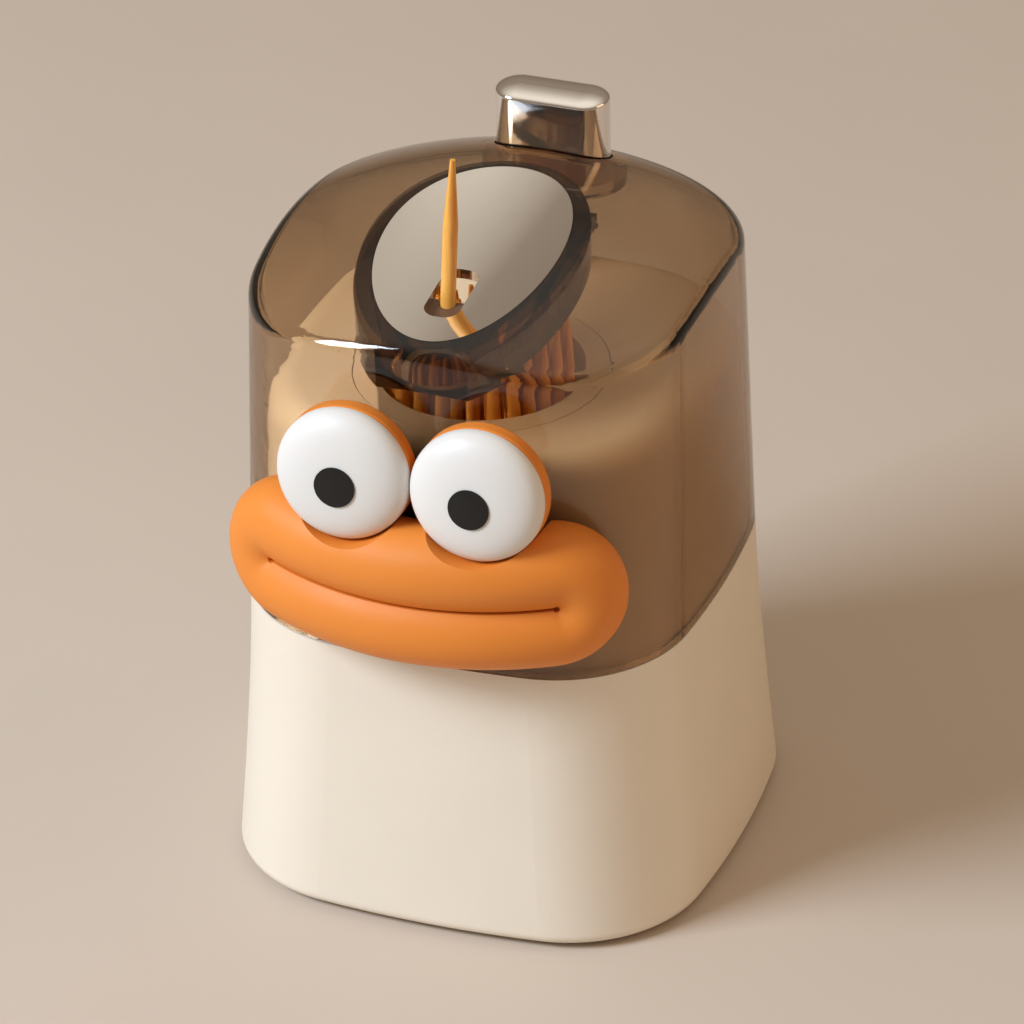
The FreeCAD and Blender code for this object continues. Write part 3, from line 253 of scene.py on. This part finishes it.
def let_lamps_through(s):
    """Lets the lamps' light straight through the surface, so that it reaches what is inside."""
    path = s.tree.nodes.new("ShaderNodeLightPath")
    opaque = s.tree.nodes.new("ShaderNodeMath")
    opaque.operation = "SUBTRACT"
    opaque.inputs[0].default_value = 1.0
    s.link(path.outputs["Is Shadow Ray"], opaque.inputs[1])
    s.link(opaque.outputs["Value"], s.bsdf.inputs["Alpha"])


def smoky_clear():
    """Clear plastic dyed through, so thick places come out darker. The collar also has painted shade: its
    colour is made dark for the dark surroundings mirrored inside its thick walls.
    """
    s = Shader("smoky_clear")
    s.set(Transmission_Weight=1.0, IOR=1.49)
    # painted shade: the base colour goes dark within the collar's oval
    s.colour_by(inside_collar(s), (0.0, CLEAR), (1.0, COLLAR_PAINTED_SHADE))
    s.roughen(s.noise(CLEAR_PATCHES, detail=3), low=0.004, high=0.02)
    s.bump(s.noise(CLEAR_WAVES, detail=1), strength=0.05, depth=CLEAR_WAVE_DEPTH)
    dye_through(s, SMOKE_TINT, SMOKE_DENSITY)
    let_lamps_through(s)
    return s.material


def mirror_chrome():
    s = Shader("chrome")
    s.set(Base_Color=(*CHROME, 1), Metallic=1.0)
    s.roughen(s.noise(METAL_PATCHES, detail=5), low=0.049, high=0.098)
    s.bump(s.noise(METAL_POLISH, detail=2), strength=0.02, depth=METAL_POLISH_DEPTH)
    return s.material


def drawn_steel():
    s = Shader("drawn_steel")
    s.set(Base_Color=(*STEEL, 1), Metallic=1.0)
    s.roughen(s.noise(STEEL_STREAKS, detail=3, vector=s.stretched(STEEL_STRETCH)), low=0.22, high=0.40)
    return s.material


def wood():
    """Turned birch: fine fibres along the pick, darker streaks and a dry surface."""
    s = Shader("birch")
    fibres = s.noise(WOOD_FIBRES, detail=5, roughness=0.65, distortion=0.4, vector=s.stretched(WOOD_STRETCH))
    s.colour_by(fibres, (0.34, BIRCH_DARK), (0.5, BIRCH_LIGHT), (0.72, shaded(BIRCH_LIGHT, 1.12)))
    s.roughen(fibres, low=0.45, high=0.7)
    s.bump(fibres, strength=0.35, depth=WOOD_FIBRE_DEPTH)
    return s.material


def soft_sheet(name, colour, roughness):
    """Rubber, silicone or foam: mottled, matt and finely grained."""
    s = Shader(name)
    s.colour_by(s.noise(SHEET_MOTTLE, detail=4), (0.35, shaded(colour, 0.85)), (0.65, colour))
    s.set(Roughness=roughness)
    s.bump(s.noise(SHEET_GRAIN, detail=4), strength=0.3, depth=SHEET_GRAIN_DEPTH)
    return s.material


def tabletop():
    s = Shader("tabletop")
    s.colour_by(s.noise(TABLE_CLOUDS, detail=3), (0.35, shaded(FLOOR, 0.97)), (0.65, FLOOR))
    s.set(Roughness=0.62)
    s.bump(s.noise(TABLE_GRAIN, detail=5), strength=0.08, depth=TABLE_GRAIN_DEPTH)
    return s.material


def dress_nodes():
    """Gives every CAD node its material, and returns the birch for the turned picks."""
    cream = moulded_plastic("cream_gloss", CREAM, roughness=0.36, soft=0.05)
    inner_cream = moulded_plastic("cream_inner", CREAM, roughness=0.45)
    orange = moulded_plastic("orange_vinyl", ORANGE, roughness=0.5, grain=0.2, soft=0.08, shine=0.35)
    white = moulded_plastic("eye_white", WHITE, roughness=0.42, soft=0.1, shine=0.4)
    black = moulded_plastic("pupil_black", BLACK, roughness=0.32, shine=0.35)
    natural = moulded_plastic("natural_acetal", NATURAL, roughness=0.4)
    smoke = smoky_clear()
    chrome = mirror_chrome()
    steel = drawn_steel()
    birch = wood()
    rubber = soft_sheet("dark_rubber", RUBBER, roughness=0.75)
    # the grip's dark colour holds painted shade for the outlet slot
    silicone = soft_sheet("silicone", SILICONE_AND_SLOT_SHADE, roughness=0.4)
    foam = soft_sheet("foam_tape", FOAM, roughness=0.8)
    dress = {
        cream: ["base_shell", "bottom_plate"],
        inner_cream: ["inner_container", "toothpick_cup"],
        orange: ["lips", "eye_back_left", "eye_back_right"],
        white: ["eye_white_left", "eye_white_right"],
        black: ["pupil_left", "pupil_right"],
        natural: ["lift_lever", "lifter"],
        smoke: ["cover"],
        chrome: ["outlet_plate", "button_cap"],
        steel: ["bottom_screws", "container_screws", "pivot_pin", "pivot_clips", "guide_rods", "lever_pins",
                "push_rod", "rod_clip", "return_spring"],
        birch: ["raised_toothpick", "stored_toothpicks"],
        rubber: ["anti_slip_pad"],
        silicone: ["pick_grip"],
        foam: ["lips_tape", "eye_tape_left", "eye_tape_right"],
    }
    for material, names in dress.items():
        for name in names:
            mesh = nodes[name].data
            mesh.materials.clear()
            mesh.materials.append(material)
    return birch


# ---------------------------------------------------------------- toothpicks

PICK_LENGTH = 65 * MM
PICK_RADIUS = 1.03 * MM
PICK_TIP_RADIUS = 0.32 * MM
PICK_TAPER = 9.6 * MM
PICK_SHOULDER = 0.35          # a ring this far up the taper
PICK_SHOULDER_WIDTH = 0.62    # has this share of the full radius
PICK_MIDDLE_RINGS = (0.35, 0.5, 0.65)   # as shares of the length
PICK_SIDES = 12
RING_WEAR = 0.94              # thinnest ring, as a share of its full radius
CORNER_WEAR = 0.96            # lowest corner, as a share of its ring's radius
SHARP_ANGLE = math.radians(35)

BUNDLE_SEED = 7
BUNDLE_PITCH = 2.6 * MM
BUNDLE_REACH = 12.7 * MM      # furthest a stored pick's middle lies from the cup's axis
FOOT_LIFT_MM = (0.1, 0.5)     # the picks' ends over the cup's floor
PICK_LEAN = 0.003             # largest lean along X and along Y, per length
CUP_CENTRE_Y = sum(corner.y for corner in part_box("toothpick_cup")) / 2
CUP_FLOOR = 18 * MM
FRONT_GAP_HALF = 4.93 * MM    # free for the lifter's seat and the raised pick
FRONT_GAP_REAR = CUP_CENTRE_Y - 8.57 * MM
REAR_GAP_FRONT = CUP_CENTRE_Y + 7.77 * MM   # the cup is free behind this


def add_pick(mesh, foot, along, rng):
    """Adds one turned pick to a bmesh: straight middle, tapered ends, slightly uneven rings."""
    along = along.normalized()
    across = along.orthogonal().normalized()
    other = along.cross(across)
    stations = [(0, PICK_TIP_RADIUS), (PICK_SHOULDER * PICK_TAPER, PICK_SHOULDER_WIDTH * PICK_RADIUS),
                (PICK_TAPER, PICK_RADIUS)]
    far_end = [(PICK_LENGTH - place, radius) for place, radius in reversed(stations)]
    stations += [(PICK_LENGTH * share, PICK_RADIUS) for share in PICK_MIDDLE_RINGS] + far_end
    rings = []
    for place, radius in stations:
        wobble = radius * rng.uniform(RING_WEAR, 1.0)
        ring = []
        for i in range(PICK_SIDES):
            angle = 2 * math.pi * i / PICK_SIDES
            reach = wobble * rng.uniform(CORNER_WEAR, 1.0)
            offset = across * (reach * math.cos(angle)) + other * (reach * math.sin(angle))
            ring.append(mesh.verts.new(foot + along * place + offset))
        rings.append(ring)
    for low, high in zip(rings, rings[1:]):
        for i in range(PICK_SIDES):
            j = (i + 1) % PICK_SIDES
            mesh.faces.new((low[i], low[j], high[j], high[i]))
    mesh.faces.new(rings[0][::-1])
    mesh.faces.new(rings[-1])


def mesh_object(name, mesh, material):
    data = bpy.data.meshes.new(name)
    mesh.to_mesh(data)
    mesh.free()
    data.materials.append(material)
    piece = bpy.data.objects.new(name, data)
    bpy.context.scene.collection.objects.link(piece)
    data.shade_smooth()
    data.set_sharp_from_angle(angle=SHARP_ANGLE)
    return piece


def add_stored_picks(birch):
    """The bundle standing in the cup, each pick a little out of line."""
    rng = random.Random(BUNDLE_SEED)
    mesh = bmesh.new()
    row_step = BUNDLE_PITCH * math.sqrt(3) / 2
    rows = int(BUNDLE_REACH / row_step) + 1
    for row in range(-rows, rows + 1):
        for column in range(-rows - 1, rows + 2):
            x = (column + (row % 2) / 2) * BUNDLE_PITCH
            y = CUP_CENTRE_Y + row * row_step
            inside = math.hypot(x, y - CUP_CENTRE_Y) < BUNDLE_REACH
            in_front_gap = abs(x) < FRONT_GAP_HALF and y < FRONT_GAP_REAR
            if inside and not in_front_gap and y < REAR_GAP_FRONT:
                foot = Vector((x, y, CUP_FLOOR + rng.uniform(*FOOT_LIFT_MM) * MM))
                lean = Vector((rng.uniform(-PICK_LEAN, PICK_LEAN), rng.uniform(-PICK_LEAN, PICK_LEAN), 1))
                add_pick(mesh, foot, lean, rng)
    bundle = mesh_object("stored_picks_turned", mesh, birch)
    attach(bundle, "base")
    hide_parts("stored_toothpicks")


# ---------------------------------------------------------------- stage and light

FLOOR_SIZE = 6

# The room's light from the horizon, 0, to overhead, 1, and the room as metal and plastic mirror it.
ROOM_LIGHT = ((0.0, (0.22, 0.175, 0.13)), (1.0, (0.53, 0.45, 0.36)))
ROOM_SHOWN = ((0.0, (0.22, 0.17, 0.12)), (0.56, (0.33, 0.26, 0.20)), (0.76, (0.60, 0.52, 0.42)),
              (0.95, (1.0, 0.90, 0.77)))

LIT_POINT = (0, 0, 0.05)      # the lamps are turned to it
LAMPS = (
    {"name": "key", "place": (-0.555, -0.536, 0.63), "size": (0.36, 0.30), "power": 10.2,
     "colour": (0.76, 0.87, 1.0)},
    {"name": "fill", "place": (0.75, 0.1, 0.35), "size": (0.5, 0.5), "power": 0.9,
     "colour": (1.0, 0.62, 0.32)},
)


def add_floor(material):
    bpy.ops.mesh.primitive_plane_add(size=FLOOR_SIZE, location=(0, 0, 0))
    floor = bpy.context.object
    floor.name = "floor"
    floor.data.materials.append(material)


def add_lamp(name, place, size, power, colour):
    data = bpy.data.lights.new(name, "AREA")
    data.shape = "RECTANGLE"
    data.size, data.size_y = size
    data.energy = power
    data.color = colour
    lamp = bpy.data.objects.new(name, data)
    lamp.location = place
    lamp.rotation_euler = (Vector(LIT_POINT) - Vector(place)).to_track_quat("-Z", "Y").to_euler()
    bpy.context.scene.collection.objects.link(lamp)


def add_world():
    """Warm room light, brighter overhead. Metal and plastic mirror a bright ceiling over a darker room."""
    world = bpy.data.worlds.new("world")
    world.use_nodes = True
    tree = world.node_tree
    coords = tree.nodes.new("ShaderNodeTexCoord")
    split = tree.nodes.new("ShaderNodeSeparateXYZ")
    tree.links.new(coords.outputs["Generated"], split.inputs["Vector"])
    skies = [colour_ramp(tree, split.outputs["Z"], stops) for stops in (ROOM_LIGHT, ROOM_SHOWN)]
    path = tree.nodes.new("ShaderNodeLightPath")
    mix = tree.nodes.new("ShaderNodeMix")
    mix.data_type = "RGBA"
    tree.links.new(path.outputs["Is Glossy Ray"], mix.inputs["Factor"])
    colours_in = [socket for socket in mix.inputs if socket.type == "RGBA"]
    colour_out, = [socket for socket in mix.outputs if socket.type == "RGBA"]
    for sky, socket in zip(skies, colours_in):
        tree.links.new(sky, socket)
    tree.links.new(colour_out, tree.nodes["Background"].inputs["Color"])
    bpy.context.scene.world = world


# ---------------------------------------------------------------- build

add_camera()
add_world()
for lamp in LAMPS:
    add_lamp(**lamp)
birch_wood = dress_nodes()
add_stored_picks(birch_wood)
add_floor(tabletop())
bpy.context.scene.view_settings.view_transform = "Standard"
